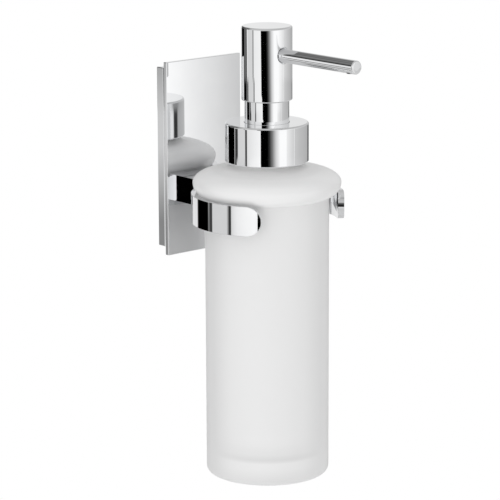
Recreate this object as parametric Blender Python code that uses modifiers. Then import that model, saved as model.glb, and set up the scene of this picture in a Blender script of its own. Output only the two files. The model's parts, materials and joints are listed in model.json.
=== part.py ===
"""Wall mounted soap dispenser: a chrome holder with an open ring, a frosted glass bottle and a lotion pump.

The wall is the plane y = 0 and the dispenser stands out of it towards -Y. The origin is the centre of the
bracket's back face. Every dimension below is in millimetres; MM turns them into Blender's metres.
"""

import math

import bmesh
import bpy
from mathutils import Matrix, Vector

MM = 0.001

# Holder: what hangs on the wall, from the wall outwards
SHELL_WIDTH, SHELL_HEIGHT, SHELL_DEPTH = 43.0, 89.3, 5.0
SHELL_WALL, SHELL_FLOOR = 1.5, 1.2
BRACKET_WIDTH, BRACKET_LOW, BRACKET_THICKNESS = 34.0, -35.0, 2.0
BRACKET_BOSS_WIDTH, BRACKET_BOSS_LOW, BRACKET_BOSS_HIGH, BRACKET_BOSS_DEPTH = 18.0, -18.0, 26.0, 3.4
WALL_HOLE_RADIUS, WALL_HOLE_HEIGHTS = 2.3, (-27.0, 34.0)
SPACER_WIDTH, SPACER_HEIGHT, SPACER_THICKNESS = 39.0, 85.0, 2.3
PLATE_WIDTH, PLATE_HEIGHT, PLATE_THICKNESS = 47.3, 96.0, 2.2
SEAM = 0.3  # gap between two pieces that touch
PLATE_FRONT = SHELL_DEPTH + SEAM + SPACER_THICKNESS + SEAM + PLATE_THICKNESS
ARM_WIDTH, ARM_LOW, ARM_HIGH = 27.0, -22.8, -9.8
FRAME_SCREWS = {"upper": (-13.0, 38.0), "lower": (13.0, -39.0)}  # x and z of each axis
ARM_SCREWS = {"left": -7.5, "right": 7.5}
ARM_SCREW_LEVEL = (ARM_LOW + ARM_HIGH) / 2
SET_SCREW_RADIUS, SET_SCREW_DEPTH = 1.2, 2.4
AXIS_REACH = 56.8  # wall to the axis of the bottle and pump
RING_FORWARD = 0.5  # the bottle hangs this far back from the ring's own centre
RING_OUTER, RING_INNER = 37.0, 34.0
RING_LOW, RING_HIGH = -26.2, -12.1
RING_GAP_HALF_ANGLE = 46.5  # degrees from straight ahead to each tip

# Bottle
BODY_RADIUS, BOTTLE_LOW, BOTTLE_WALL, BASE_THICKNESS = 30.0, -151.7, 3.0, 11.5
ARM_SCREW_SIZES = (1.8, 3.1, 1.9)  # shank radius, head radius, head height
FRAME_SCREW_SIZES = (1.2, 2.3, 1.1)
ARM_SCREW_TIP = 17.0  # depth of the tips
SCREW_CLEARANCE, SCREW_POCKET = 2.1, 3.5  # radii of the arm screws' holes and head pockets
SPOUT_END_WALL = 0.8
NOZZLE_BORE, NOZZLE_HEIGHT = 1.2, 1.9
FLANGE_RADIUS, FLANGE_LEVEL = 35.9, -6.9
FLANGE_SWELL, FLANGE_RISE = 15.5, 6.4  # half-axes of its upper curve
FLANGE_CURL, FLANGE_DROP = 5.5, 6.2  # half-axes of its underside, which rests on the ring
NECK_RADIUS, NECK_BORE, NECK_TOP = 16.9, 12.5, 15.5
NECK_FLARE, NECK_FLARE_RISE = 8.0, 4.2  # half-axes of the hollow curve from neck to flange

# Pump and its cap
COLLAR_RADIUS, COLLAR_LOW, COLLAR_HIGH, COLLAR_WALL = 20.16, 3.3, 22.3, 1.0
SLEEVE_RADIUS, SLEEVE_BORE, SLEEVE_TOP = 10.79, 9.6, 37.0
SLEEVE_CLEARANCE = 0.45
LINER_RADIUS, LINER_BORE = 18.8, 17.3
HOUSING_RADIUS, HOUSING_BORE, HOUSING_FLANGE = 11.0, 9.0, 16.4
STEM_RADIUS, STEM_BORE, STEM_LOW, STEM_TOP = 4.0, 1.4, -16.0, 51.0
PISTON_RADIUS = 8.85
HEAD_RADIUS, HEAD_BORE, HEAD_LOW, HEAD_HIGH = 12.31, 11.3, 33.1, 68.7
CORE_RADIUS, CORE_LOW, CORE_HIGH = 11.0, 48.0, 66.9
SPOUT_LEVEL, SPOUT_RADIUS, SPOUT_BORE, SPOUT_REACH = 55.55, 3.25, 2.6, 62.4
OUTLET_REACH, OUTLET_RADIUS = 58.4, 2.1
SPRING_RADIUS, SPRING_WIRE, SPRING_TURNS, SPRING_LOW, SPRING_HIGH = 6.6, 0.5, 7, 19.0, 47.6
TUBE_RADIUS, TUBE_BORE, TUBE_LOW, TUBE_TOP = 3.0, 2.0, -136.0, -46.3
INLET_BALL_RADIUS, INLET_BALL_LEVEL = 2.0, -42.9
DISCHARGE_BALL_RADIUS, DISCHARGE_BALL_LEVEL = 1.7, -12.8

FINE, MEDIUM, COARSE = 40, 32, 16  # steps round a turned piece


def clear_scene():
    for obj in list(bpy.data.objects):
        bpy.data.objects.remove(obj, do_unlink=True)


def new_collection(name):
    made = bpy.data.collections.new(name)
    bpy.context.scene.collection.children.link(made)
    return made


def look(name, colour, roughness, metallic=0.0, transmission=0.0):
    """A Principled material."""
    made = bpy.data.materials.new(name)
    made.use_nodes = True
    shader = made.node_tree.nodes["Principled BSDF"]
    shader.inputs["Base Color"].default_value = (*colour, 1.0)
    shader.inputs["Roughness"].default_value = roughness
    shader.inputs["Metallic"].default_value = metallic
    shader.inputs["Transmission Weight"].default_value = transmission
    return made


def body_frame(name, x=0.0, y=0.0, z=0.0):
    """An empty that the pieces of one moving body hang from."""
    empty = bpy.data.objects.new(name, None)
    empty.location = (x * MM, y * MM, z * MM)
    empty.empty_display_size = 5 * MM
    PARTS.objects.link(empty)
    return empty


def adopt(obj, name, material, body, collection=None):
    """Names an object, gives it its material and hangs it from its body, where it already is."""
    for holder in list(obj.users_collection):
        holder.objects.unlink(obj)
    (collection or PARTS).objects.link(obj)
    obj.name = name
    obj.data.name = name
    if material:
        obj.data.materials.clear()
        obj.data.materials.append(material)
    obj.parent = body
    obj.location = obj.location - body.location
    return obj


def soften(obj, width, segments=2):
    """Rounds the sharp edges."""
    bevel = obj.modifiers.new("Bevel", "BEVEL")
    bevel.width = width * MM
    bevel.segments = segments
    bevel.limit_method = "ANGLE"
    return obj


def box(name, low, high, material, body, edge=0.0, collection=None):
    """A block between two corners."""
    centre = (Vector(low) + Vector(high)) / 2 * MM
    size = (Vector(high) - Vector(low)) * MM
    bpy.ops.mesh.primitive_cube_add(size=1, location=centre)
    obj = bpy.context.object
    obj.data.transform(Matrix.Diagonal((*size, 1)))
    adopt(obj, name, material, body, collection)
    return soften(obj, edge) if edge else obj


def rod(name, radius, start, end, material, body, steps=COARSE, collection=None):
    """A solid cylinder between two points."""
    start, end = Vector(start) * MM, Vector(end) * MM
    along = end - start
    bpy.ops.mesh.primitive_cylinder_add(
        vertices=steps, radius=radius * MM, depth=along.length, location=(start + end) / 2
    )
    obj = bpy.context.object
    obj.data.transform(along.to_track_quat("Z", "Y").to_matrix().to_4x4())
    obj.data.shade_smooth()
    obj.data.set_sharp_from_angle(angle=math.radians(40))
    return adopt(obj, name, material, body, collection)


def as_cutter(obj):
    obj.hide_render = True
    obj.display_type = "WIRE"
    return obj


def rod_cutter(name, radius, start, end, body, steps=COARSE):
    return as_cutter(rod(name, radius, start, end, None, body, steps, CUTTERS))


def box_cutter(name, low, high, body):
    return as_cutter(box(name, low, high, None, body, 0.0, CUTTERS))


def combine(obj, operation, *others):
    for other in others:
        boolean = obj.modifiers.new(operation.title(), "BOOLEAN")
        boolean.operation = operation
        boolean.solver = "EXACT"
        boolean.object = other
    return obj


def turned(name, outline, material, body, steps=MEDIUM, closed=True, axis_y=-AXIS_REACH, turn=None):
    """A solid of revolution. The outline's (radius, height) points run down its outer side; one that isn't
    closed starts and ends on the axis. turn, if given, tips the axis from +Z."""
    mesh = bpy.data.meshes.new(name)
    points = [(r * MM, 0, z * MM) for r, z in outline]
    edges = [(i, i + 1) for i in range(len(points) - 1)]
    if closed:
        edges.append((len(points) - 1, 0))
    mesh.from_pydata(points, edges, [])
    obj = bpy.data.objects.new(name, mesh)
    obj.location = (0, axis_y * MM, 0)
    if turn:
        obj.rotation_euler = turn
    PARTS.objects.link(obj)
    adopt(obj, name, material, body)
    screw = obj.modifiers.new("Screw", "SCREW")
    screw.axis = "Z"
    screw.angle = math.tau
    screw.steps = screw.render_steps = steps
    screw.use_merge_vertices = True
    screw.merge_threshold = 0.00001
    screw.use_smooth_shade = True
    return obj


def arc(radius, centre, start, end, steps, rise=None):
    """Points on a circle or, with rise as its upright half-axis, on an ellipse; angles in degrees."""
    rise = radius if rise is None else rise
    angles = [math.radians(start + (end - start) * i / steps) for i in range(steps + 1)]
    return [(centre[0] + radius * math.cos(a), centre[1] + rise * math.sin(a)) for a in angles]


def tube_outline(outer, bore, low, high):
    return [(bore, high), (outer, high), (outer, low), (bore, low)]


# ---- holder ----


def wall_bracket(body):
    """A steel strap that is screwed to the wall; the shell's top edge hangs on it."""
    top = SHELL_HEIGHT / 2 - SHELL_WALL - SEAM
    half = BRACKET_WIDTH / 2
    strap = box(
        "wall_bracket", (-half, -BRACKET_THICKNESS, BRACKET_LOW), (half, 0, top), STEEL, body, 0.4
    )
    half = BRACKET_BOSS_WIDTH / 2
    boss = box_cutter(
        "bracket_boss",
        (-half, -BRACKET_BOSS_DEPTH, BRACKET_BOSS_LOW),
        (half, -BRACKET_THICKNESS / 2, BRACKET_BOSS_HIGH),
        body,
    )
    combine(strap, "UNION", boss)
    for number, level in enumerate(WALL_HOLE_HEIGHTS):
        hole = rod_cutter(
            f"wall_hole_{number}", WALL_HOLE_RADIUS, (0, 1, level), (0, -BRACKET_BOSS_DEPTH - 1, level), body
        )
        combine(strap, "DIFFERENCE", hole)


def backing_shell(body):
    """A shallow chrome tray that covers the bracket, open to the wall."""
    half_x, half_z = SHELL_WIDTH / 2, SHELL_HEIGHT / 2
    shell = box("backing_shell", (-half_x, -SHELL_DEPTH, -half_z), (half_x, 0, half_z), CHROME, body, 0.3)
    hollow = box_cutter(
        "shell_hollow",
        (-half_x + SHELL_WALL, -SHELL_DEPTH + SHELL_FLOOR, -half_z + SHELL_WALL),
        (half_x - SHELL_WALL, 2, half_z - SHELL_WALL),
        body,
    )
    combine(shell, "DIFFERENCE", hollow)
    for name, (x, z) in FRAME_SCREWS.items():
        cutter = rod_cutter(f"shell_hole_{name}", 1.5, (x, -2, z), (x, -SHELL_DEPTH - 1, z), body)
        combine(shell, "DIFFERENCE", cutter)
    cutter = rod_cutter(
        "set_screw_hole", SET_SCREW_RADIUS + 0.15, (0, -SET_SCREW_DEPTH, -half_z - 1),
        (0, -SET_SCREW_DEPTH, -half_z + SHELL_WALL + 1), body,
    )
    combine(shell, "DIFFERENCE", cutter)


def plate_spacer(body):
    """A black plate that leaves a shadow gap behind the face plate."""
    back = SHELL_DEPTH + SEAM
    front = back + SPACER_THICKNESS
    half_x, half_z = SPACER_WIDTH / 2, SPACER_HEIGHT / 2
    spacer = box("plate_spacer", (-half_x, -front, -half_z), (half_x, -back, half_z), BLACK, body, 0.3)
    for name, (x, z) in FRAME_SCREWS.items():
        cutter = rod_cutter(f"spacer_hole_{name}", 1.5, (x, -back + 1, z), (x, -front - 1, z), body)
        combine(spacer, "DIFFERENCE", cutter)
    for name, x in ARM_SCREWS.items():
        cutter = rod_cutter(
            f"spacer_pocket_{name}", SCREW_POCKET, (x, -back + 1, ARM_SCREW_LEVEL),
            (x, -front - 1, ARM_SCREW_LEVEL), body
        )
        combine(spacer, "DIFFERENCE", cutter)


def face_plate(body):
    """The polished plate that is seen from the front."""
    back = PLATE_FRONT - PLATE_THICKNESS
    half_x, half_z = PLATE_WIDTH / 2, PLATE_HEIGHT / 2
    plate = box("face_plate", (-half_x, -PLATE_FRONT, -half_z), (half_x, -back, half_z), CHROME, body, 0.25)
    for name, (x, z) in FRAME_SCREWS.items():
        cutter = rod_cutter(f"plate_blind_hole_{name}", 1.5, (x, -back + 1, z), (x, -back - 1.4, z), body)
        combine(plate, "DIFFERENCE", cutter)
    for name, x in ARM_SCREWS.items():
        cutter = rod_cutter(
            f"plate_hole_{name}", SCREW_CLEARANCE, (x, -back + 1, ARM_SCREW_LEVEL),
            (x, -PLATE_FRONT - 1, ARM_SCREW_LEVEL), body
        )
        combine(plate, "DIFFERENCE", cutter)


def screw(name, shank, head, head_height, back, tip, x, z, body):
    """A pan head screw along -Y: its head starts at depth back, its shank ends at depth tip."""
    outline = [(0, -back), (head - 0.5, -back), (head, -back - 0.5), (head, -back - head_height)]
    outline += [(shank, -back - head_height), (shank, -tip + 0.5), (shank - 0.5, -tip), (0, -tip)]
    obj = turned(name, outline, STEEL, body, 20, closed=False, axis_y=0, turn=(math.radians(-90), 0, 0))
    obj.location = (x * MM, 0, z * MM)
    return obj


def holder_screws(body):
    for name, x in ARM_SCREWS.items():
        screw(f"arm_screw_{name}", *ARM_SCREW_SIZES, 5.4, ARM_SCREW_TIP, x, ARM_SCREW_LEVEL, body)
    for name, (x, z) in FRAME_SCREWS.items():
        screw(f"frame_screw_{name}", *FRAME_SCREW_SIZES, 2.4, 8.9, x, z, body)
    low = -SHELL_HEIGHT / 2 - 0.2
    rod(
        "set_screw", SET_SCREW_RADIUS, (0, -SET_SCREW_DEPTH, low),
        (0, -SET_SCREW_DEPTH, BRACKET_LOW - SEAM), STEEL, body, 20,
    )
    key = rod_cutter(
        "set_screw_socket", 0.65, (0, -SET_SCREW_DEPTH, low - 1), (0, -SET_SCREW_DEPTH, low + 1.2), body, 6
    )
    combine(bpy.data.objects["set_screw"], "DIFFERENCE", key)


def arm(body):
    """The block between the plate and the ring, scooped out to the ring's own curve."""
    half = ARM_WIDTH / 2
    centre = -AXIS_REACH - RING_FORWARD
    block = box("arm", (-half, -30, ARM_LOW), (half, -PLATE_FRONT - SEAM, ARM_HIGH), CHROME, body)
    scoop = rod_cutter(
        "arm_scoop", RING_OUTER + SEAM, (0, centre, ARM_LOW - 5), (0, centre, ARM_HIGH + 5), body, 64
    )
    combine(block, "DIFFERENCE", scoop)
    for name, x in ARM_SCREWS.items():
        cutter = rod_cutter(
            f"arm_hole_{name}", SCREW_CLEARANCE, (x, -PLATE_FRONT + 1, ARM_SCREW_LEVEL),
            (x, -ARM_SCREW_TIP - 0.6, ARM_SCREW_LEVEL), body
        )
        combine(block, "DIFFERENCE", cutter)


def ring_stations():
    """(angle, half height) pairs from tip to tip; each tip is a half circle as high as the ring."""
    half = (RING_HIGH - RING_LOW) / 2
    middle = (RING_OUTER + RING_INNER) / 2
    tip = math.pi - math.radians(RING_GAP_HALF_ANGLE)
    shoulder = tip - half / middle
    bends = [math.radians(a) for a in (84, 72, 60, 48, 36, 24, 12)]
    ends = [(shoulder + half * math.sin(a) / middle, half * math.cos(a)) for a in bends]
    plain = 44
    run = [(-shoulder + 2 * shoulder * i / plain, half) for i in range(plain + 1)]
    return [(-a, h) for a, h in ends] + run + list(reversed(ends))


def c_ring(body):
    """A flat band bent into an open ring; its section is lofted from tip to tip."""
    level = (RING_HIGH + RING_LOW) / 2
    work = bmesh.new()
    rows = []
    for angle, half in ring_stations():
        row = []
        for radius, side in ((RING_OUTER, 1), (RING_INNER, 1), (RING_INNER, -1), (RING_OUTER, -1)):
            x, y = radius * math.sin(angle), radius * math.cos(angle)
            row.append(work.verts.new((x * MM, y * MM, (level + side * half) * MM)))
        rows.append(row)
    for first, second in zip(rows, rows[1:]):
        for i in range(4):
            j = (i + 1) % 4
            work.faces.new((first[i], first[j], second[j], second[i]))
    work.faces.new(rows[0])
    work.faces.new(rows[-1])
    bmesh.ops.recalc_face_normals(work, faces=work.faces)
    mesh = bpy.data.meshes.new("c_ring")
    work.to_mesh(mesh)
    work.free()
    obj = bpy.data.objects.new("c_ring", mesh)
    obj.location = (0, (-AXIS_REACH - RING_FORWARD) * MM, 0)
    PARTS.objects.link(obj)
    adopt(obj, "c_ring", CHROME, body)
    soften(obj, 0.7)


# ---- bottle ----


def glass_bottle(body):
    """A straight glass jar with a thick base, a bulged flange that hangs on the ring, and a neck."""
    flange_top = FLANGE_LEVEL + FLANGE_RISE
    outline = [(NECK_BORE + 0.5, NECK_TOP), (NECK_RADIUS - 0.5, NECK_TOP), (NECK_RADIUS, NECK_TOP - 0.5)]
    flare_centre = (NECK_RADIUS + NECK_FLARE, flange_top + NECK_FLARE_RISE)
    outline += arc(NECK_FLARE, flare_centre, 180, 250, 4, NECK_FLARE_RISE)
    outline += arc(FLANGE_SWELL, (FLANGE_RADIUS - FLANGE_SWELL, FLANGE_LEVEL), 74, 0, 6, FLANGE_RISE)
    outline += arc(FLANGE_CURL, (FLANGE_RADIUS - FLANGE_CURL, FLANGE_LEVEL), -12, -72, 5, FLANGE_DROP)
    outline += [(BODY_RADIUS, FLANGE_LEVEL - FLANGE_DROP - 0.8)]
    outline += arc(3.0, (BODY_RADIUS - 3.0, BOTTLE_LOW + 3.0), 0, -90, 3)
    outline += [(23.0, BOTTLE_LOW), (21.5, BOTTLE_LOW + 0.8), (0, BOTTLE_LOW + 0.8)]
    bore = BODY_RADIUS - BOTTLE_WALL
    floor = BOTTLE_LOW + BASE_THICKNESS
    inside = [(0, floor)] + arc(4.0, (bore - 4.0, floor + 4.0), -90, 0, 2)
    inside += arc(bore - NECK_BORE, (NECK_BORE, -10.0), 0, 80, 4, 7.0) + [(NECK_BORE, -2.6)]
    inside += [(NECK_BORE, NECK_TOP - 0.5)]
    # The axis splits the outline, so the screw starts under the floor and ends on top of it.
    base = outline.index((0, BOTTLE_LOW + 0.8))
    ring = inside + outline[: base + 1]
    turned("glass_bottle", ring, GLASS, body, FINE, closed=False)


# ---- pump, cap and head ----


def collar(body):
    """The chrome cap that screws the pump to the neck, and its plastic liner."""
    hole = SLEEVE_RADIUS + SLEEVE_CLEARANCE
    inner = COLLAR_RADIUS - COLLAR_WALL
    shell = [(hole, COLLAR_HIGH)] + arc(0.9, (COLLAR_RADIUS - 0.9, COLLAR_HIGH - 0.9), 90, 0, 3)
    shell += arc(0.6, (COLLAR_RADIUS - 0.6, COLLAR_LOW + 0.6), 0, -90, 2)
    shell += [(inner, COLLAR_LOW), (inner, COLLAR_HIGH - COLLAR_WALL), (hole, COLLAR_HIGH - COLLAR_WALL)]
    turned("collar_shell", shell, CHROME, body, FINE)
    top = COLLAR_HIGH - COLLAR_WALL - SEAM
    liner = [(hole, top), (LINER_RADIUS, top), (LINER_RADIUS, COLLAR_LOW + 0.6)]
    liner += [(LINER_BORE, COLLAR_LOW + 0.6), (LINER_BORE, top - 1.0), (hole, top - 1.0)]
    turned("collar_liner", liner, WHITE, body, FINE)


def pump_housing(body):
    """The pump's cylinder: a flange that sits on the neck, and an inlet with the ball's seat."""
    flange_low, flange_high = 17.1, 18.4
    outline = [(HOUSING_BORE, flange_high), (HOUSING_FLANGE, flange_high), (HOUSING_FLANGE, flange_low)]
    outline += [(HOUSING_RADIUS, flange_low), (HOUSING_RADIUS, -36.0), (4.7, -42.0), (4.7, -50.0)]
    outline += [(TUBE_RADIUS + SEAM, -50.0), (TUBE_RADIUS + SEAM, -46.0), (1.3, -46.0), (1.3, -45.0)]
    outline += [(2.6, -43.0), (2.9, -40.0), (HOUSING_BORE, -35.5)]
    turned("pump_housing", outline, WHITE, body, 32)


def pump_fixed_pieces(body):
    turned("neck_gasket", tube_outline(16.3, 12.9, NECK_TOP + SEAM, 16.8), BLACK, body, 32)
    turned("housing_cap", tube_outline(HOUSING_BORE - 0.3, STEM_RADIUS + 0.3, 11.0, 18.6), WHITE, body, 32)
    foot = [(SLEEVE_BORE, SLEEVE_TOP), (SLEEVE_RADIUS - 0.4, SLEEVE_TOP), (SLEEVE_RADIUS, SLEEVE_TOP - 0.4)]
    foot += [(SLEEVE_RADIUS, 19.7), (HOUSING_FLANGE, 19.7), (HOUSING_FLANGE, 18.7), (SLEEVE_BORE, 18.7)]
    turned("guide_sleeve", foot, CHROME, body, FINE)
    turned("dip_tube", tube_outline(TUBE_RADIUS, TUBE_BORE, TUBE_LOW, TUBE_TOP), CLEAR, body, COARSE)
    bar = box("inlet_cage", (-4.3, -AXIS_REACH - 0.5, -38.3), (4.3, -AXIS_REACH + 0.5, -37.3), WHITE, body)
    cross = box_cutter("cage_cross", (-0.5, -AXIS_REACH - 4.3, -38.3), (0.5, -AXIS_REACH + 4.3, -37.3), body)
    combine(bar, "UNION", cross)


def return_spring(body):
    """A helix round the stem that pushes the head back up."""
    data = bpy.data.curves.new("return_spring", "CURVE")
    data.dimensions = "3D"
    data.bevel_depth = SPRING_WIRE * MM
    data.bevel_resolution = 2
    data.use_fill_caps = True
    per_turn = 10
    count = SPRING_TURNS * per_turn + 1
    low, high = SPRING_LOW + SPRING_WIRE, SPRING_HIGH - SPRING_WIRE
    line = data.splines.new("POLY")
    line.points.add(count - 1)
    for i, point in enumerate(line.points):
        angle = math.tau * i / per_turn
        level = low + (high - low) * i / (count - 1)
        x, y = SPRING_RADIUS * math.cos(angle), SPRING_RADIUS * math.sin(angle)
        point.co = (x * MM, y * MM, level * MM, 1)
    obj = bpy.data.objects.new("return_spring", data)
    obj.location = (0, -AXIS_REACH * MM, 0)
    PARTS.objects.link(obj)
    adopt(obj, "return_spring", STEEL, body)


def stem_and_piston(body):
    outline = [(STEM_BORE, STEM_TOP), (STEM_RADIUS, STEM_TOP), (STEM_RADIUS, STEM_LOW), (1.2, STEM_LOW)]
    outline += [(1.2, -14.5), (2.2, -13.0), (2.2, -9.5), (STEM_BORE, -9.0)]
    turned("pump_stem", outline, WHITE, body, COARSE)
    low, high, groove = -14.0, -4.0, 0.8
    outline = [(STEM_RADIUS + 0.2, high), (PISTON_RADIUS, high), (PISTON_RADIUS, high - 2.5)]
    outline += [(PISTON_RADIUS - groove, high - 3.0), (PISTON_RADIUS - groove, low + 3.0)]
    outline += [(PISTON_RADIUS, low + 2.5), (PISTON_RADIUS, low), (STEM_RADIUS + 0.2, low)]
    turned("piston", outline, SOFT_WHITE, body, 32)


def ball(name, radius, level, body):
    bpy.ops.mesh.primitive_uv_sphere_add(
        segments=16, ring_count=10, radius=radius * MM, location=(0, -AXIS_REACH * MM, level * MM)
    )
    obj = bpy.context.object
    obj.data.shade_smooth()
    adopt(obj, name, STEEL, body)


def head(body):
    """The chrome button, the plastic core inside it, and the spout with its liner and outlet."""
    outline = [(0, HEAD_HIGH)] + arc(1.0, (HEAD_RADIUS - 1.0, HEAD_HIGH - 1.0), 90, 0, 4)
    outline += arc(0.6, (HEAD_RADIUS - 0.6, HEAD_LOW + 0.6), 0, -90, 2)
    outline += [(HEAD_BORE, HEAD_LOW + 0.2), (HEAD_BORE, HEAD_HIGH - 1.5), (0, HEAD_HIGH - 1.5)]
    shell = turned("head_shell", outline, CHROME, body, FINE, closed=False)
    opening = rod_cutter(
        "spout_opening", SPOUT_RADIUS + 0.15, (0, -AXIS_REACH - 9, SPOUT_LEVEL),
        (0, -AXIS_REACH - 16, SPOUT_LEVEL), body, 40,
    )
    combine(shell, "DIFFERENCE", opening)
    socket, bore = STEM_RADIUS + 0.35, 2.2
    outline = [(0, CORE_HIGH), (CORE_RADIUS, CORE_HIGH), (CORE_RADIUS, CORE_LOW), (5.6, CORE_LOW)]
    outline += [(5.6, 44.0), (socket, 44.0), (socket, STEM_TOP + 0.3), (bore, STEM_TOP + 0.3)]
    outline += [(bore, SPOUT_LEVEL + 2.5), (0, SPOUT_LEVEL + 2.5)]
    core = turned("head_core", outline, WHITE, body, 32, closed=False)
    recess = rod_cutter(
        "spout_recess", SPOUT_RADIUS + 0.2, (0, -AXIS_REACH - 4.2, SPOUT_LEVEL),
        (0, -AXIS_REACH - 16, SPOUT_LEVEL), body, 32,
    )
    channel = rod_cutter(
        "spout_channel", 1.5, (0, -AXIS_REACH, SPOUT_LEVEL), (0, -AXIS_REACH - 6, SPOUT_LEVEL), body, 20
    )
    combine(core, "DIFFERENCE", recess, channel)


def spout(body):
    """A straight closed tube that lies along -Y; it pours through a hole under its end."""
    root, edge = 4.5, 0.5
    outline = [(0, SPOUT_REACH), (SPOUT_RADIUS - edge, SPOUT_REACH), (SPOUT_RADIUS, SPOUT_REACH - edge)]
    inner_end = SPOUT_REACH - SPOUT_END_WALL
    outline += [(SPOUT_RADIUS, root), (SPOUT_BORE, root), (SPOUT_BORE, inner_end), (0, inner_end)]
    forward = (math.radians(90), 0, 0)
    tube = turned("spout_tube", outline, CHROME, body, MEDIUM, closed=False, turn=forward)
    tube.location.z = SPOUT_LEVEL * MM
    outlet_y = -AXIS_REACH - OUTLET_REACH
    outlet = rod_cutter(
        "outlet_hole", OUTLET_RADIUS, (0, outlet_y, SPOUT_LEVEL), (0, outlet_y, SPOUT_LEVEL - 6), body
    )
    combine(tube, "DIFFERENCE", outlet)
    lining = tube_outline(SPOUT_BORE - 0.25, 1.6, root, OUTLET_REACH - OUTLET_RADIUS - 0.4)
    liner = turned("spout_liner", lining, WHITE, body, COARSE, turn=forward)
    liner.location.z = SPOUT_LEVEL * MM
    low = SPOUT_LEVEL - SPOUT_RADIUS + 0.15
    insert = tube_outline(OUTLET_RADIUS - 0.2, NOZZLE_BORE, low, low + NOZZLE_HEIGHT)
    nozzle = turned("spout_nozzle", insert, BLACK, body, COARSE)
    nozzle.location.y = -OUTLET_REACH * MM


clear_scene()
PARTS = new_collection("wall_mounted_soap_dispenser")
CUTTERS = new_collection("cutters")
CHROME = look("chrome", (0.86, 0.87, 0.88), 0.05, metallic=1.0)
STEEL = look("steel", (0.62, 0.62, 0.63), 0.3, metallic=1.0)
GLASS = look("frosted_glass", (0.93, 0.94, 0.94), 0.45, transmission=0.6)
CLEAR = look("clear_plastic", (0.9, 0.92, 0.92), 0.2, transmission=0.5)
WHITE = look("white_plastic", (0.88, 0.88, 0.87), 0.35)
SOFT_WHITE = look("soft_plastic", (0.8, 0.8, 0.79), 0.5)
BLACK = look("black_rubber", (0.03, 0.03, 0.03), 0.6)

holder = body_frame("holder_body")
wall_bracket(holder)
backing_shell(holder)
plate_spacer(holder)
face_plate(holder)
holder_screws(holder)
arm(holder)
c_ring(holder)

glass_bottle(body_frame("bottle_body", y=-AXIS_REACH))
collar(body_frame("collar_body", y=-AXIS_REACH))
pump = body_frame("pump_body", y=-AXIS_REACH)
pump_housing(pump)
pump_fixed_pieces(pump)
return_spring(pump)
stem_and_piston(body_frame("stem_body", y=-AXIS_REACH))
ball("inlet_ball", INLET_BALL_RADIUS, INLET_BALL_LEVEL, body_frame("inlet_ball_body", y=-AXIS_REACH))
outlet_ball_body = body_frame("outlet_ball_body", y=-AXIS_REACH)
ball("discharge_ball", DISCHARGE_BALL_RADIUS, DISCHARGE_BALL_LEVEL, outlet_ball_body)
top = body_frame("head_body", y=-AXIS_REACH)
head(top)
spout(top)
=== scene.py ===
"""Looks of the wall mounted soap dispenser: polished chrome, frosted glass and moulded plastic.

The pieces stand round the CAD frame, in a white studio with a black card. Sizes are in metres, and MM writes
small ones in millimetres. Named angles of the studio are in degrees.
"""

import json
import math

import bmesh
import bpy
from mathutils import Matrix, Vector

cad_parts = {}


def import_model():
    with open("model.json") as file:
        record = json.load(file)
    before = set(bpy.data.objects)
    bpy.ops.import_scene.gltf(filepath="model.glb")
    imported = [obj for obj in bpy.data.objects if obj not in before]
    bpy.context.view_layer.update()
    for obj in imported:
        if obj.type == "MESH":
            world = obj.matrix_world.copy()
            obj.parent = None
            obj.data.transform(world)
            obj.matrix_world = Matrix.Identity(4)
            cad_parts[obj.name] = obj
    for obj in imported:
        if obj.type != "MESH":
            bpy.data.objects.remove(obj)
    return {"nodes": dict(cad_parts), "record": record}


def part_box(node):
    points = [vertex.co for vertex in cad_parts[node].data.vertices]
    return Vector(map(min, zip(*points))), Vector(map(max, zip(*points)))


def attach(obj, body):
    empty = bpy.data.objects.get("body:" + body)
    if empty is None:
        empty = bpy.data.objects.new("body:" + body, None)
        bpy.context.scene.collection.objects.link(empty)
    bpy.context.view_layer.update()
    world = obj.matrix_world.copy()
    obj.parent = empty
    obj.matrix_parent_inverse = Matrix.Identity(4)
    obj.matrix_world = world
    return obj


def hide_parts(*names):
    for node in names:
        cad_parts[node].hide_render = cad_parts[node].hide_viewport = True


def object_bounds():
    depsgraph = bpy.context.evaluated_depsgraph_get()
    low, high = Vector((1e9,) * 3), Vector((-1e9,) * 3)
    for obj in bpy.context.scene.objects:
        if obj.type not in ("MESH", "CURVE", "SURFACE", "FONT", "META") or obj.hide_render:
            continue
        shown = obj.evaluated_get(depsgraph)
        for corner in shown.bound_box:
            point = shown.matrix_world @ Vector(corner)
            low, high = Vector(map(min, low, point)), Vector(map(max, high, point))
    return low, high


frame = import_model()
CAD_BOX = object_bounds()
MM = 0.001

# ---- places and sizes read from the frame ----

BOTTLE_LOW, BOTTLE_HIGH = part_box("glass_bottle")
AXIS = Vector(((BOTTLE_LOW.x + BOTTLE_HIGH.x) / 2, (BOTTLE_LOW.y + BOTTLE_HIGH.y) / 2, 0))
COLLAR_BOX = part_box("collar_shell")
SLEEVE_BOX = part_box("guide_sleeve")
HEAD_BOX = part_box("head_shell")
SPOUT_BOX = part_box("spout_tube")
RING_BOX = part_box("c_ring")

FINE = 192  # steps round a turned piece
COARSE = 96  # steps round a cutter or the table
SHARP = math.radians(35)  # an edge that bends more than this stays sharp
WELD = 0.5e-6  # points closer than this become one

# ---- meshes ----


def arc(radius, centre, start, end, steps, rise=None):
    """Points on a circle or, with rise as its upright half-axis, on an ellipse; angles in degrees."""
    rise = radius if rise is None else rise
    angles = [math.radians(start + (end - start) * i / steps) for i in range(steps + 1)]
    return [(centre[0] + radius * math.cos(a), centre[1] + rise * math.sin(a)) for a in angles]


def add_mesh(name, work):
    """A new object in the scene from a bmesh, which is used up."""
    mesh = bpy.data.meshes.new(name)
    work.to_mesh(mesh)
    work.free()
    obj = bpy.data.objects.new(name, mesh)
    bpy.context.scene.collection.objects.link(obj)
    return obj


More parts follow.
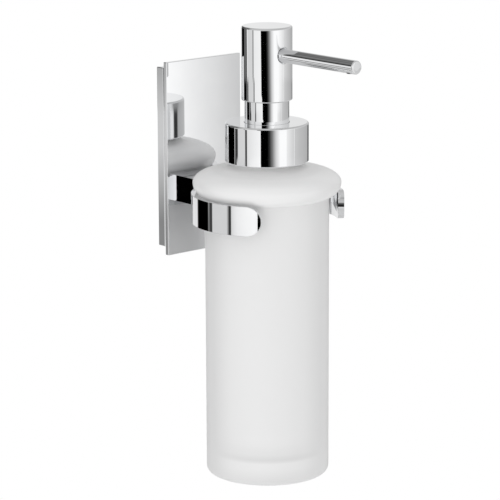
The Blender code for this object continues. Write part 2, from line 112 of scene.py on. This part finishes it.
def finish_mesh(name, work, material, body, nodes, location):
    """Turns a bmesh into a smooth shaded piece that rides on a body and stands for CAD nodes."""
    bmesh.ops.recalc_face_normals(work, faces=work.faces)
    obj = add_mesh(name, work)
    obj.data.shade_smooth()
    obj.data.set_sharp_from_angle(angle=SHARP)
    obj.data.materials.append(material)
    obj.location = location
    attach(obj, body)
    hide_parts(*nodes)
    return obj


def even_normals(obj):
    """Keeps flats flat next to small fillets."""
    weighted = obj.modifiers.new("Weighted Normal", "WEIGHTED_NORMAL")
    weighted.keep_sharp = True
    weighted.weight = 80
    return obj


def spun(outline, closed=False, steps=FINE):
    """A bmesh turned about Z from (radius, height) points; an open outline starts and ends on the axis."""
    work = bmesh.new()
    verts = [work.verts.new((r, 0, z)) for r, z in outline]
    pairs = list(zip(verts, verts[1:])) + ([(verts[-1], verts[0])] if closed else [])
    edges = [work.edges.new(pair) for pair in pairs]
    bmesh.ops.spin(
        work, geom=verts + edges, cent=(0, 0, 0), axis=(0, 0, 1), angle=math.tau, steps=steps
    )
    bmesh.ops.remove_doubles(work, verts=work.verts, dist=WELD)
    return work


def turned(name, outline, material, body, nodes, location=AXIS, steps=FINE, closed=True, turn=None):
    """A piece that is a solid of revolution; turn is a matrix that tips it over."""
    work = spun(outline, closed, steps)
    if turn:
        bmesh.ops.transform(work, matrix=turn, verts=work.verts)
    return even_normals(finish_mesh(name, work, material, body, nodes, location))


# ---- materials ----


class Nodes:
    """Short calls for building a node tree."""

    def __init__(self, tree):
        self.tree = tree

    def add(self, kind, **values):
        """A new node; each value goes to its property or, failing that, to its input of that name."""
        node = self.tree.nodes.new(kind)
        for key, value in values.items():
            if hasattr(node, key):
                setattr(node, key, value)
            else:
                node.inputs[key.replace("_", " ")].default_value = value
        return node

    def link(self, source, target):
        self.tree.links.new(source, target)

    def math(self, operation, first, second=None):
        node = self.tree.nodes.new("ShaderNodeMath")
        node.operation = operation
        for socket, value in zip(node.inputs, (first, second)):
            if value is None:
                continue
            if isinstance(value, (int, float)):
                socket.default_value = value
            else:
                self.link(value, socket)
        return node.outputs[0]

    def ramp(self, source, stops):
        """A colour ramp from (position, colour or grey) stops."""
        node = self.tree.nodes.new("ShaderNodeValToRGB")
        elements = node.color_ramp.elements
        while len(elements) < len(stops):
            elements.new(0.5)
        for element, (position, value) in zip(elements, stops):
            element.position = position
            colour = (value,) * 3 if isinstance(value, (int, float)) else value
            element.color = (*colour, 1)
        self.link(source, node.inputs[0])
        return node.outputs[0]

    def step(self, source, low, high, start=0.0, end=1.0):
        """A straight change from start at low to end at high, flat outside."""
        node = self.add("ShaderNodeMapRange")
        self.link(source, node.inputs["Value"])
        for index, value in enumerate((low, high, start, end), 1):
            node.inputs[index].default_value = value
        return node.outputs[0]

    def mix(self, share, first, second):
        """The first colour where share is 0, the second where it is 1."""
        node = self.add("ShaderNodeMix", data_type="RGBA")
        for index, source in ((0, share), (6, first), (7, second)):
            self.link(source, node.inputs[index])
        return node.outputs[2]

    def place(self):
        """X, Y and Z in the object's own metres."""
        parts = self.add("ShaderNodeSeparateXYZ")
        self.link(self.add("ShaderNodeTexCoord").outputs["Object"], parts.inputs[0])
        return parts.outputs

    def noise(self, scale, detail, stretch=None):
        """Noise in the object's own metres; stretch squeezes it along axes."""
        place = self.tree.nodes.new("ShaderNodeTexCoord").outputs["Object"]
        if stretch:
            mapping = self.tree.nodes.new("ShaderNodeMapping")
            mapping.inputs["Scale"].default_value = stretch
            self.link(place, mapping.inputs["Vector"])
            place = mapping.outputs[0]
        node = self.add("ShaderNodeTexNoise", Scale=scale, Detail=detail)
        self.link(place, node.inputs["Vector"])
        return node.outputs[0]


def principled(name, colour, roughness, **sockets):
    """A new material, its Nodes helper and its Principled shader."""
    made = bpy.data.materials.new(name)
    made.use_nodes = True
    shader = made.node_tree.nodes["Principled BSDF"]
    shader.inputs["Base Color"].default_value = (*colour, 1)
    shader.inputs["Roughness"].default_value = roughness
    for key, value in sockets.items():
        shader.inputs[key.replace("_", " ")].default_value = value
    return made, Nodes(made.node_tree), shader


def add_bump(nodes, shader, height, distance):
    """Relief as deep as distance where height goes from 0 to 1."""
    bump = nodes.add("ShaderNodeBump", Strength=1.0, Distance=distance)
    nodes.link(height, bump.inputs["Height"])
    nodes.link(bump.outputs[0], shader.inputs["Normal"])


def chrome_look(name, low=0.012, high=0.035):
    """Mirror plating: faint hazy patches and hairlines in its roughness, and a slight unevenness."""
    made, nodes, shader = principled(name, (0.9, 0.905, 0.91), low, Metallic=1.0)
    haze = nodes.noise(90, 4)
    hairlines = nodes.noise(300, 2, (1, 1, 0.05))
    worn = nodes.math("MULTIPLY", haze, hairlines)
    nodes.link(nodes.ramp(worn, [(0.15, low), (0.45, high)]), shader.inputs["Roughness"])
    tint = nodes.ramp(haze, [(0.3, (0.88, 0.885, 0.895)), (0.7, (0.91, 0.915, 0.92))])
    nodes.link(tint, shader.inputs["Base Color"])
    add_bump(nodes, shader, nodes.noise(45, 1), 0.0000015)
    return made


def metal_look(name, colour, roughness):
    """Plain plated steel with a fine drawn grain."""
    made, nodes, shader = principled(name, colour, roughness, Metallic=1.0)
    grain = nodes.noise(600, 3, (1, 1, 8))
    worn = nodes.ramp(grain, [(0.2, roughness * 0.7), (0.8, roughness * 1.4)])
    nodes.link(worn, shader.inputs["Roughness"])
    dark = tuple(c * 0.85 for c in colour)
    nodes.link(nodes.ramp(nodes.noise(120, 3), [(0.3, dark), (0.7, colour)]), shader.inputs["Base Color"])
    add_bump(nodes, shader, grain, 0.00001)
    return made


def plastic_look(name, colour, roughness, grain=900, **sockets):
    """Moulded plastic or rubber: a fine texture and slight changes of tone."""
    made, nodes, shader = principled(name, colour, roughness, **sockets)
    dark = tuple(c * 0.9 for c in colour)
    nodes.link(nodes.ramp(nodes.noise(70, 2), [(0.3, dark), (0.7, colour)]), shader.inputs["Base Color"])
    texture = nodes.noise(grain, 2)
    worn = nodes.ramp(texture, [(0.2, roughness * 0.8), (0.8, roughness * 1.2)])
    nodes.link(worn, shader.inputs["Roughness"])
    add_bump(nodes, shader, texture, 0.00002)
    return made


BASE_DEPTH = 11.5 * MM  # solid glass under the bottle's inside
BASE_SPAN = 4 * BASE_DEPTH
# painted shade on the glass by height over that span: darker over the solid base, a painted dark line at the
# inner floor, then none over the clear wall
BASE_SHADE_TONES = [
    (0.0, 0.78), (0.033, 0.8), (0.076, 0.85), (0.13, 0.9), (0.185, 0.944), (0.25, 0.96), (0.271, 0.89),
    (0.293, 0.845), (0.315, 0.87), (0.347, 0.924), (0.401, 0.953), (0.455, 0.985), (0.52, 1.0),
    (1.0, 1.0),
]
# the same painted shade over the base near the outline, where it is weaker
EDGE_SHADE_TONES = [(0.0, 0.9), (0.05, 0.96), (0.3, 1.0), (1.0, 1.0)]
TURNED_AWAY = (0.05, 0.4)  # where the first list, for face on, gives way to the second
# painted shade on the glass from face on to edge on: darker bands and edges that stand in for the fall of
# light
RIM_SHADE_TONES = [
    (0.0, 0.93), (0.08, 0.93), (0.17, 0.93), (0.28, 0.9), (0.4, 0.888), (0.52, 0.93), (0.64, 0.93),
    (0.78, 0.89), (1.0, 0.93),
]


def frosted_look():
    """Acid etched white glass: a soft even glow, with painted shade over the solid base and in bands from
    face on to edge on.
    """
    made, nodes, shader = principled(
        "frosted_glass", (0.94, 0.94, 0.94), 0.5, Subsurface_Weight=0.25, Subsurface_Scale=0.01, IOR=1.5,
        Subsurface_Radius=(1, 1, 1),
    )
    facing = nodes.add("ShaderNodeLayerWeight", Blend=0.35).outputs["Facing"]
    height = nodes.place()["Z"]
    share = nodes.math("DIVIDE", nodes.math("SUBTRACT", height, BOTTLE_LOW.z), BASE_SPAN)
    # painted shade over the solid base and at the inner floor, weaker towards the outline
    base = nodes.mix(
        nodes.step(facing, *TURNED_AWAY), nodes.ramp(share, BASE_SHADE_TONES), nodes.ramp(share, EDGE_SHADE_TONES)
    )
    # painted shade by how far the surface turns from face on, times the painted shade over the base
    tone = nodes.math("MULTIPLY", nodes.ramp(facing, RIM_SHADE_TONES), base)
    nodes.link(tone, shader.inputs["Base Color"])
    etch = nodes.noise(2500, 2)
    nodes.link(nodes.ramp(etch, [(0.2, 0.42), (0.8, 0.58)]), shader.inputs["Roughness"])
    add_bump(nodes, shader, etch, 0.000008)
    return made


CHROME = chrome_look("polished_chrome")
GLASS = frosted_look()
BRACKET = metal_look("zinc_plated_steel", (0.6, 0.61, 0.62), 0.35)
SCREWS = metal_look("screw_steel", (0.66, 0.66, 0.67), 0.25)
WHITE = plastic_look("white_plastic", (0.86, 0.86, 0.85), 0.35)
CLEAR = plastic_look("clear_plastic", (0.85, 0.88, 0.88), 0.2, Transmission_Weight=0.6)
BLACK = plastic_look("black_plastic", (0.02, 0.02, 0.022), 0.55)
RUBBER = plastic_look("black_rubber", (0.025, 0.025, 0.025), 0.7, grain=1500)

LOOKS = {
    "chrome": CHROME,
    "bracket_steel": BRACKET,
    "screw_steel": SCREWS,
    "black_rubber": RUBBER,
    "black_plastic": BLACK,
    "frosted_glass": GLASS,
    "white_plastic": WHITE,
    "clear_plastic": CLEAR,
}


def dress_frame():
    """Every CAD node gets the detailed version of its own material slot."""
    for part in frame["record"]["subparts"]:
        obj = frame["nodes"][part["node"]]
        material = LOOKS[part["material_slot"]]
        if not obj.material_slots:
            obj.data.materials.append(material)
        for slot in obj.material_slots:
            slot.material = material


# ---- pieces ----


def bottle():
    """The jar: neck, bulged flange, straight wall, rounded foot with a shallow punt, and its inside."""
    outer = (BOTTLE_HIGH.x - BOTTLE_LOW.x) / 2
    wall, body, level = 3.0 * MM, 30.0 * MM, -6.9 * MM
    neck, bore, top, foot = 16.9 * MM, 12.5 * MM, BOTTLE_HIGH.z, BOTTLE_LOW.z
    swell, rise = 15.5 * MM, 6.4 * MM
    curl, drop = 5.5 * MM, 6.2 * MM
    flare, flare_high, flare_rise = 8.0 * MM, 3.7 * MM, 4.47 * MM
    tuck, tuck_low, tuck_rise = 1.2 * MM, 0.8 * MM, 0.7 * MM
    shoulder, shoulder_rise = -10.0 * MM, 7.0 * MM
    lip, heel, corner, punt = 0.5 * MM, 3.0 * MM, 4.0 * MM, 0.8 * MM
    outline = arc(lip, (bore + lip, top - lip), 180, 90, 3)
    outline += arc(lip, (neck - lip, top - lip), 90, 0, 3)
    outline += arc(flare, (neck + flare, flare_high), 180, 258, 14, flare_rise)
    outline += arc(swell, (outer - swell, level), 70, 0, 22, rise)
    outline += arc(curl, (outer - curl, level), -5, -78, 14, drop)
    outline += arc(tuck, (body + tuck, level - drop - tuck_low), 115, 180, 5, tuck_rise)
    low, high, straight = foot + heel, outline[-1][1], 12
    outline += [(body, high + (low - high) * i / straight) for i in range(1, straight)]
    outline += arc(heel, (body - heel, low), 0, -90, 8)
    outline += [(23.0 * MM, foot), (22.2 * MM, foot + punt / 2)]
    outline += [(21.5 * MM, foot + punt), (0, foot + punt)]
    inner, bottom = body - wall, foot + BASE_DEPTH
    inside = [(0, bottom)] + arc(corner, (inner - corner, bottom + corner), -90, 0, 6)
    inside += arc(inner - bore, (bore, shoulder), 0, 84, 12, shoulder_rise)
    turned("bottle_glass", inside + outline, GLASS, "bottle", ["glass_bottle"], closed=False)


def collar():
    """The cap: a shell with a hole for the sleeve, open below."""
    low, high = COLLAR_BOX
    radius, wall, hole = (high.x - low.x) / 2, 1.0 * MM, 10.95 * MM
    rim, edge, foot = 0.25 * MM, 0.9 * MM, 0.6 * MM
    outline = arc(rim, (hole + rim, high.z - rim), 180, 90, 3)
    outline += arc(edge, (radius - edge, high.z - edge), 90, 0, 8)
    outline += arc(foot, (radius - foot, low.z + foot), 0, -90, 6)
    outline += [(radius - wall, low.z), (radius - wall, high.z - wall), (hole, high.z - wall)]
    turned("collar_cap", outline, CHROME, "collar", ["collar_shell"])


def sleeve():
    """The tube between cap and head, with a thin flange at its foot."""
    low, high = SLEEVE_BOX
    radius, bore, flange = 10.79 * MM, 9.6 * MM, (high.x - low.x) / 2
    edge, thick = 0.4 * MM, 1.0 * MM
    outline = [(bore, high.z)] + arc(edge, (radius - edge, high.z - edge), 90, 0, 4)
    outline += [(radius, low.z + thick), (flange, low.z + thick), (flange, low.z), (bore, low.z)]
    turned("sleeve_tube", outline, CHROME, "pump", ["guide_sleeve"])


def head():
    """The head's shell, with a chamfered hole where the spout leaves it."""
    low, high = HEAD_BOX
    radius, bore, roof = (high.x - low.x) / 2, 11.3 * MM, 1.5 * MM
    edge, foot, step = 1.0 * MM, 0.6 * MM, 0.2 * MM
    outline = [(0, high.z), (radius * 0.5, high.z)] + arc(edge, (radius - edge, high.z - edge), 90, 0, 8)
    outline += arc(foot, (radius - foot, low.z + foot), 0, -90, 6)
    outline += [(bore, low.z + step), (bore, high.z - roof), (0, high.z - roof)]
    shell = turned("head_cap", outline, CHROME, "head", ["head_shell"], closed=False)
    gap, flare, depth, reach = 0.12 * MM, 1.0 * MM, 0.8 * MM, 4 * MM
    hole = (SPOUT_BOX[1].z - SPOUT_BOX[0].z) / 2 + gap
    outline = [(0, -reach), (hole, -reach), (hole, -depth)]
    outline += [(hole + flare, depth / 4), (hole + flare, reach), (0, reach)]
    work = spun(outline, steps=COARSE)
    bmesh.ops.rotate(work, matrix=Matrix.Rotation(math.radians(90), 3, "X"), verts=work.verts)
    bmesh.ops.recalc_face_normals(work, faces=work.faces)
    cutter = add_mesh("spout_hole", work)
    cutter.location = (AXIS.x, AXIS.y - radius, (SPOUT_BOX[0].z + SPOUT_BOX[1].z) / 2)
    cut_now(shell, cutter)


def cut_now(obj, cutter):
    """Cuts one object from another for good, and removes the cutter."""
    boolean = obj.modifiers.new("Cut", "BOOLEAN")
    boolean.object = cutter
    boolean.operation = "DIFFERENCE"
    obj.modifiers.move(len(obj.modifiers) - 1, 0)
    bpy.context.view_layer.update()
    others = [m for m in obj.modifiers if m != boolean]
    for modifier in others:
        modifier.show_viewport = False
    graph = bpy.context.evaluated_depsgraph_get()
    mesh = bpy.data.meshes.new_from_object(obj.evaluated_get(graph))
    obj.modifiers.remove(boolean)
    for modifier in others:
        modifier.show_viewport = True
    mesh.set_sharp_from_angle(angle=SHARP)
    obj.data = mesh
    bpy.data.objects.remove(cutter, do_unlink=True)


def spout():
    """A closed tube along -Y with a softly rounded end and an outlet under it."""
    low, high = SPOUT_BOX
    radius, bore, edge, wall = (high.z - low.z) / 2, 2.6 * MM, 0.55 * MM, 0.8 * MM
    near, far = AXIS.y - high.y, AXIS.y - low.y
    outline = [(0, far), (radius * 0.4, far)] + arc(edge, (radius - edge, far - edge), 90, 0, 6)
    outline += [(radius, near), (bore, near), (bore, far - wall), (0, far - wall)]
    level = (low.z + high.z) / 2
    pipe = turned(
        "spout_pipe", outline, CHROME, "head", ["spout_tube"], location=(AXIS.x, AXIS.y, level),
        closed=False, steps=128, turn=Matrix.Rotation(math.radians(90), 4, "X"),
    )
    outlet_low, outlet_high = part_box("spout_nozzle")
    gap, deep = 0.2 * MM, 6 * MM
    hole = (outlet_high.x - outlet_low.x) / 2 + gap
    work = bmesh.new()
    bmesh.ops.create_cone(work, cap_ends=True, segments=64, radius1=hole, radius2=hole, depth=deep)
    cutter = add_mesh("outlet_hole", work)
    cutter.location = (AXIS.x, (outlet_low.y + outlet_high.y) / 2, low.z)
    cut_now(pipe, cutter)


def ring():
    """The open band; its four long edges are rounded right round the tips."""
    low, high = RING_BOX
    wall, half_opening = 3.0 * MM, math.radians(46.5)
    outer = (high.x - low.x) / 2
    inner = outer - wall
    half, level, middle = (high.z - low.z) / 2, (high.z + low.z) / 2, (outer + inner) / 2
    shoulder = math.pi - half_opening - half / middle  # where the rounding of a tip starts
    bends, plain, steepest = 18, 180, 88  # steps round a tip and between the tips, and a tip's last angle
    angles = [math.radians(steepest * (bends - i) / bends) for i in range(bends)]
    ends = [(shoulder + half * math.sin(a) / middle, half * math.cos(a)) for a in angles]
    run = [(-shoulder + 2 * shoulder * i / plain, half) for i in range(plain + 1)]
    stations = [(-angle, rise) for angle, rise in ends] + run + list(reversed(ends))
    work = bmesh.new()
    rows = []
    for angle, rise in stations:
        row = []
        for radius, side in ((outer, 1), (inner, 1), (inner, -1), (outer, -1)):
            place = (radius * math.sin(angle), radius * math.cos(angle), level + side * rise)
            row.append(work.verts.new(place))
        rows.append(row)
    for first, second in zip(rows, rows[1:]):
        for i in range(4):
            j = (i + 1) % 4
            work.faces.new((first[i], first[j], second[j], second[i]))
    work.faces.new(rows[0])
    work.faces.new(rows[-1])
    band = finish_mesh("ring_band", work, CHROME, "holder", ["c_ring"], (AXIS.x, high.y - outer, 0))
    bevel = band.modifiers.new("Bevel", "BEVEL")
    bevel.width = 0.75 * MM
    bevel.segments = 4
    bevel.limit_method = "ANGLE"
    bevel.angle_limit = math.radians(50)
    even_normals(band)


# ---- studio ----

VIEW_AZIMUTH, VIEW_PITCH, VIEW_ROLL = 41.12, 12.855, -0.219  # degrees: from the left, down, and tilt
CAMERA_PLACE = (-820.8 * MM, -984.4 * MM, 241.8 * MM)
LENS, SENSOR = 188.57, 36.0


def view_axes():
    """The camera's right, up and forward directions, before roll for the flat ones."""
    azimuth, pitch = math.radians(VIEW_AZIMUTH), math.radians(VIEW_PITCH)
    ahead = Vector((math.sin(azimuth), math.cos(azimuth), 0))
    right = Vector((math.cos(azimuth), -math.sin(azimuth), 0))
    forward = ahead * math.cos(pitch) - Vector((0, 0, math.sin(pitch)))
    up = Vector((0, 0, math.cos(pitch))) + ahead * math.sin(pitch)
    return ahead, right, up, forward


def camera():
    """Where the object is seen from; nothing is shifted or out of focus."""
    _, right, up, forward = view_axes()
    roll = math.radians(VIEW_ROLL)
    side = right * math.cos(roll) + up * math.sin(roll)
    top = up * math.cos(roll) - right * math.sin(roll)
    data = bpy.data.cameras.new("camera")
    data.lens, data.sensor_width = LENS, SENSOR
    data.clip_start, data.clip_end = 0.05, 20
    obj = bpy.data.objects.new("camera", data)
    turn = Matrix((side, top, -forward)).transposed()
    obj.matrix_world = Matrix.Translation(CAMERA_PLACE) @ turn.to_4x4()
    bpy.context.scene.collection.objects.link(obj)
    bpy.context.scene.camera = obj


# Brightness round the horizon by degrees to the right of the camera, as seen by the head, the sleeve, the
# collar and the ring.
FRONT = [(-24, 0.97), (-12, 1.0), (14, 0.5)]
HEAD_BAND = [
    (-180, 0.86), (-149.5, 0.86), (-148.5, 0.0), (-120.5, 0.0), (-119.5, 0.145), (-105, 0.145),
    (-104, 0.02), (-101, 0.02), (-100.2, 0.92), (-95.8, 0.92), (-95, 0.72), (-66.8, 0.72),
    (-65.4, 0.08), (-62.8, 0.08), (-61.6, 0.76), (-58, 0.92), *FRONT, (41, 1.06), (60, 1.01),
    (71, 0.92), (82, 0.78), (95, 0.68), (109, 0.6), (127, 0.53), (138, 0.47), (149, 0.45), (168, 0.45),
    (180, 0.86),
]
SLEEVE_BAND = [
    (-180, 0.86), (-150, 0.86), (-149, 0.0), (-104.5, 0.0), (-103.5, 0.07), (-91.5, 0.07), (-90.5, 0.7),
    (-62, 0.72), (-60.8, 0.06), (-57.4, 0.06), (-56.2, 0.92), *FRONT, (41, 1.06), (55, 1.03),
    (66, 0.92), (78, 0.76), (92, 0.6), (110, 0.53), (138, 0.45), (149, 0.3), (168, 0.3), (180, 0.86),
]
COLLAR_BAND = [
    (-180, 0.9), (-134.5, 0.85), (-133, 0.8), (-131.5, 0.0), (-98.8, 0.0), (-98, 0.12), (-95.4, 0.12),
    (-94, 0.03), (-88.2, 0.03), (-86.6, 0.7), (-62.8, 0.72), (-61.6, 0.02), (-57.2, 0.02), (-56, 0.82),
    (-20, 1.0), (14, 0.6), (34.6, 1.04), (46, 1.02), (54, 0.95), (63, 0.85), (73, 0.74), (84, 0.63),
    (100, 0.56), (130, 0.5), (147, 0.45), (152, 0.04), (165, 0.04), (169.5, 0.9), (180, 0.9),
]
RING_BAND = [
    (-180, 0.92), (-131.5, 0.8), (-130.5, 0.0), (-102.4, 0.0), (-101, 0.08), (-96, 0.08), (-95, 0.01),
    (-93, 0.01), (-91.8, 0.68), (-64.6, 0.7), (-60.2, 0.03), (-57.6, 0.02), (-56.4, 0.72), (-52, 0.84),
    (-47, 0.92), (-38, 0.97), (-20, 1.04), (14, 0.6), (35, 1.04), (60, 0.9), (84, 0.65), (130, 0.5),
    (147, 0.45), (150, 0.05), (167, 0.05), (170, 0.9), (180, 0.92),
]
# degrees above which each band takes over from the one before it; the ring's band is the lowest
BAND_EDGES = ((COLLAR_BAND, -10.95), (SLEEVE_BAND, -9.74), (HEAD_BAND, -9.17))
EDGE_SOFTNESS = 0.08  # half the height of the change at such an edge
# brightness by degrees above the horizon, over and under the bands, where there are dark cards
SKY = [
    (-90, 0.8), (-46, 0.75), (-42.5, 0.3), (-40.5, 0.25), (-38.5, 0.7), (-35, 0.72), (-32.5, 0.33),
    (-26, 0.38), (-22.5, 0.75), (8, 0.9), (10.5, 0.3), (13, 0.03), (20, 0.03), (24, 0.13), (29, 0.15),
    (33, 0.2), (37, 0.24), (40.5, 0.1), (44, 0.2), (50, 0.6), (90, 0.6),
]
# the same where there are no dark cards
OPEN_SKY = [(-90, 0.7), (-30, 0.6), (-12, 0.8), (8, 0.9), (15, 0.6), (50, 0.5), (90, 0.6)]
SKY_CARDS = (-179, -170, -93, -84)  # where those cards are
BANDS_TOP = (8.0, 12.0)  # degrees over which the bands turn into the sky above
BANDS_FOOT = (-17.0, -13.5)  # and below
PLATE_VIEW = (79.9, 80.4, 82.1, 82.6)  # what the flat plate mirrors: bright, then falling
PLATE_TONES = (1.08, 0.62)
SIDE_VIEW = (-100.9, -100.3, -99.0, -98.6)  # what the holder's left faces mirror
SIDE_TONES = ((-12.2, -10.6, 0.265, 0.64), (-9.95, -8.9, 0.64, 0.43))  # low, high and their brightness
SIDE_TOP = (-8.6, -8.2)


def world():
    """A surrounding that mirrors show as bands and cards; the camera itself sees plain white."""
    made = bpy.data.worlds.new("studio")
    made.use_nodes = True
    bpy.context.scene.world = made
    tree = made.node_tree
    tree.nodes.clear()
    nodes = Nodes(tree)
    ahead, right, _, _ = view_axes()
    direction = tree.nodes.new("ShaderNodeTexCoord").outputs["Generated"]

    def along(vector):
        dot = nodes.add("ShaderNodeVectorMath", operation="DOT_PRODUCT")
        dot.inputs[1].default_value = vector
        nodes.link(direction, dot.inputs[0])
        return dot.outputs["Value"]

    azimuth = nodes.math("ARCTAN2", along(right), along(-ahead))
    degrees = nodes.math("MULTIPLY", azimuth, math.degrees(1))
    turn = nodes.math("ADD", nodes.math("DIVIDE", azimuth, math.tau), 0.5)
    rise = nodes.math("MULTIPLY", nodes.math("ARCSINE", along((0, 0, 1))), math.degrees(1))
    height = nodes.math("ADD", nodes.math("DIVIDE", rise, 180), 0.5)

    def round_horizon(stops):
        return nodes.ramp(turn, [((a + 180) / 360, v) for a, v in stops])

    def up_and_down(stops):
        return nodes.ramp(height, [((a + 90) / 180, v) for a, v in stops])

    def window(edges):
        opened = nodes.step(degrees, *edges[:2])
        return nodes.math("MULTIPLY", opened, nodes.step(degrees, *edges[2:], 1.0, 0.0))

    band = round_horizon(RING_BAND)
    for upper, edge in BAND_EDGES:
        share = nodes.step(rise, edge - EDGE_SOFTNESS, edge + EDGE_SOFTNESS)
        band = nodes.mix(share, band, round_horizon(upper))
    plate = nodes.step(degrees, PLATE_VIEW[1], PLATE_VIEW[2], *PLATE_TONES)
    band = nodes.mix(window(PLATE_VIEW), band, plate)
    side = nodes.math("MINIMUM", *(nodes.step(rise, *change) for change in SIDE_TONES))
    low_only = nodes.math("MULTIPLY", window(SIDE_VIEW), nodes.step(rise, *SIDE_TOP, 1.0, 0.0))
    band = nodes.mix(low_only, band, side)
    sky = nodes.mix(window(SKY_CARDS), up_and_down(OPEN_SKY), up_and_down(SKY))
    inside = nodes.math("MULTIPLY", nodes.step(rise, *BANDS_FOOT), nodes.step(rise, *BANDS_TOP, 1.0, 0.0))
    shown = nodes.mix(inside, sky, band)
    studio = nodes.add("ShaderNodeBackground", Strength=1.0)
    nodes.link(shown, studio.inputs["Color"])
    backdrop = nodes.add("ShaderNodeBackground", Strength=1.0)
    backdrop.inputs["Color"].default_value = (1, 1, 1, 1)
    chooser = nodes.add("ShaderNodeMixShader")
    nodes.link(nodes.add("ShaderNodeLightPath").outputs["Is Camera Ray"], chooser.inputs[0])
    nodes.link(studio.outputs[0], chooser.inputs[1])
    nodes.link(backdrop.outputs[0], chooser.inputs[2])
    nodes.link(chooser.outputs[0], nodes.add("ShaderNodeOutputWorld").inputs[0])


CARD_DISTANCE = 0.3
# corners of the black card, to the right of the camera's line and up
CARD = [
    (x * MM, z * MM)
    for x, z in ((-150, 90), (420, 90), (420, -95), (-78.5, -95), (-78.5, -60), (-90, -52), (-90, -30),
                 (-117.5, -29), (-117.5, -17), (-134, -16), (-150, 26))
]
CARD_LEANS = (0.15, 0.52)  # how far the fade moves right for each unit down, above and below its start
CARD_FADE = (4 * MM, -19 * MM)  # where the fade starts
CARD_TONES = [(0.0, 0.0), (0.14, 0.03), (0.33, 0.21), (0.6, 0.7), (0.95, 1.06), (1.0, 1.08)]
CARD_FADE_WIDTH = 210 * MM


def black_card():
    """A dark card between camera and object that only reflections see, fading to white on its right."""
    ahead, right, _, _ = view_axes()
    work = bmesh.new()
    work.faces.new([work.verts.new((x, 0, z)) for x, z in CARD])
    obj = add_mesh("black_card", work)
    turn = Matrix((right, ahead, Vector((0, 0, 1)))).transposed().to_4x4()
    obj.matrix_world = Matrix.Translation(AXIS - ahead * CARD_DISTANCE) @ turn
    made = bpy.data.materials.new("black_card")
    made.use_nodes = True
    made.node_tree.nodes.clear()
    nodes = Nodes(made.node_tree)
    place = nodes.place()
    start_x, start_z = CARD_FADE
    higher = nodes.math("SUBTRACT", place["Z"], start_z)
    lean = nodes.math("MAXIMUM", *(nodes.math("MULTIPLY", higher, share) for share in CARD_LEANS))
    along = nodes.math("ADD", nodes.math("SUBTRACT", place["X"], start_x), lean)
    glow = nodes.add("ShaderNodeEmission")
    nodes.link(nodes.ramp(nodes.math("DIVIDE", along, CARD_FADE_WIDTH), CARD_TONES), glow.inputs["Color"])
    nodes.link(glow.outputs[0], nodes.add("ShaderNodeOutputMaterial").inputs[0])
    obj.data.materials.append(made)
    obj.visible_camera = obj.visible_diffuse = obj.visible_shadow = obj.visible_transmission = False


LIGHT_TARGET = AXIS + Vector((0, 0, -0.04))


def soft_light(name, place, size, power):
    """A square area light aimed at the bottle; mirrors don't show it."""
    data = bpy.data.lights.new(name, "AREA")
    data.shape, data.size, data.energy = "SQUARE", size, power
    obj = bpy.data.objects.new(name, data)
    obj.location = place
    obj.rotation_euler = (LIGHT_TARGET - place).to_track_quat("-Z", "Y").to_euler()
    obj.visible_glossy = False
    bpy.context.scene.collection.objects.link(obj)


def lights():
    """Lights for the glass and the plastic; each call ends with size and power."""
    ahead, _, _, _ = view_axes()
    soft_light("under", AXIS - ahead * 0.5 + Vector((0, 0, -0.6)), 0.5, 1.49)
    soft_light("side", AXIS + Vector((-0.5, 0.05, 0)), 0.4, 0.3)
    soft_light("top", AXIS + Vector((-0.1, -0.1, 0.9)), 1.8, 5.24)


def floor():
    """A pale round studio table well under the object."""
    radius, drop, thickness = 0.22, 0.2, 0.012
    level, edge = CAD_BOX[0][2] - drop, thickness / 2
    outline = [(0, level), (radius - edge, level)]
    outline += arc(edge, (radius - edge, level - edge), 80, -80, 8)
    outline += [(radius - edge, level - thickness), (0, level - thickness)]
    work = spun(outline, steps=COARSE)
    bmesh.ops.recalc_face_normals(work, faces=work.faces)
    obj = add_mesh("floor", work)
    obj.data.shade_smooth()
    obj.data.materials.append(plastic_look("floor_paint", (0.92, 0.92, 0.92), 0.8))
    obj.location = AXIS


dress_frame()
bottle()
collar()
sleeve()
head()
spout()
ring()
camera()
world()
black_card()
lights()
floor()
bpy.context.scene.view_settings.view_transform = "Standard"
